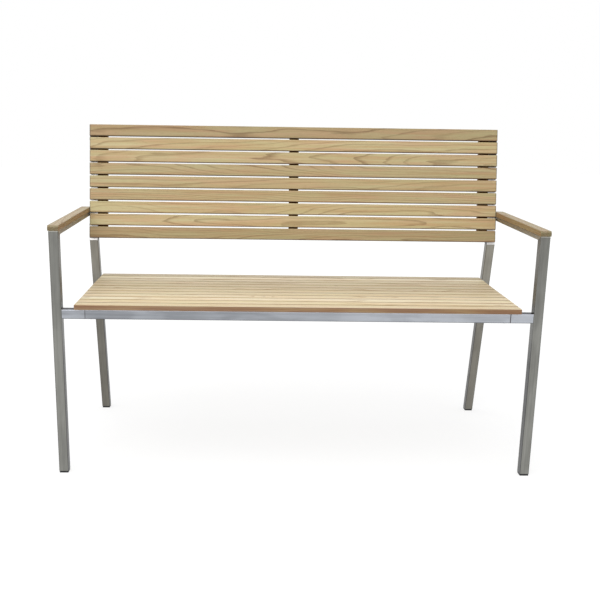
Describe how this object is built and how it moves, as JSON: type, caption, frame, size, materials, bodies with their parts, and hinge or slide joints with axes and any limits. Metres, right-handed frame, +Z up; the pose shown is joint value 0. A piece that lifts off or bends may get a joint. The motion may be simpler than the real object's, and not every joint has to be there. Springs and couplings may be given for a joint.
{
  "type": "garden bench",
  "caption": "Two-seat garden bench: brushed square tube side frames with armrests, a bolt-in seat frame, and teak slats for the seat and the reclined back.",
  "frame": {"origin": "on the floor, in the middle of the bench's width and depth", "axes": "+Z up, -Y towards the front where the sitter's legs go, +X to the right as seen from the front"},
  "size_m": [1.283, 0.5562, 0.9149],
  "materials": {
    "seat_teak": "oiled",
    "back_teak": "oiled",
    "arm_teak": "oiled",
    "dark_batten": "matte",
    "brushed_tube": "brushed",
    "inner_sleeve": "plain",
    "fastener": "satin",
    "glide": "matte"
  },
  "bodies": {
    "root": {"seat_slat_01": "seat_teak", "seat_slat_02": "seat_teak", "seat_slat_03": "seat_teak", "seat_slat_04": "seat_teak", "seat_slat_05": "seat_teak", "seat_slat_06": "seat_teak", "seat_slat_07": "seat_teak", "seat_slat_08": "seat_teak", "seat_slat_09": "seat_teak", "seat_slat_10": "seat_teak", "seat_slat_11": "seat_teak", "seat_slat_12": "seat_teak", "back_slat_1": "back_teak", "back_slat_2": "back_teak", "back_slat_3": "back_teak", "back_slat_4": "back_teak", "back_slat_5": "back_teak", "back_slat_6": "back_teak", "back_slat_7": "back_teak", "back_slat_8": "back_teak", "back_slat_9": "back_teak", "armrest_left": "arm_teak", "armrest_right": "arm_teak", "back_batten_left": "dark_batten", "back_batten_centre": "dark_batten", "back_batten_right": "dark_batten", "front_leg_left": "brushed_tube", "front_leg_right": "brushed_tube", "arm_tube_left": "brushed_tube", "arm_tube_right": "brushed_tube", "rear_leg_left": "brushed_tube", "rear_leg_right": "brushed_tube", "back_post_left": "brushed_tube", "back_post_right": "brushed_tube", "front_stub_left": "brushed_tube", "front_stub_right": "brushed_tube", "rear_stub_left": "brushed_tube", "rear_stub_right": "brushed_tube", "seat_end_rail_left": "brushed_tube", "seat_end_rail_right": "brushed_tube", "seat_front_rail": "brushed_tube", "seat_rear_rail": "brushed_tube", "seat_centre_rail": "brushed_tube", "front_sleeve_left": "inner_sleeve", "front_sleeve_right": "inner_sleeve", "rear_sleeve_left": "inner_sleeve", "rear_sleeve_right": "inner_sleeve", "front_seat_screw_left": "fastener", "front_seat_screw_right": "fastener", "rear_seat_screw_left": "fastener", "rear_seat_screw_right": "fastener", "lower_back_bolt_left": "fastener", "lower_back_bolt_right": "fastener", "upper_back_bolt_left": "fastener", "upper_back_bolt_right": "fastener", "front_glide_left": "glide", "front_glide_right": "glide", "rear_glide_left": "glide", "rear_glide_right": "glide"}
  },
  "joints": []
}
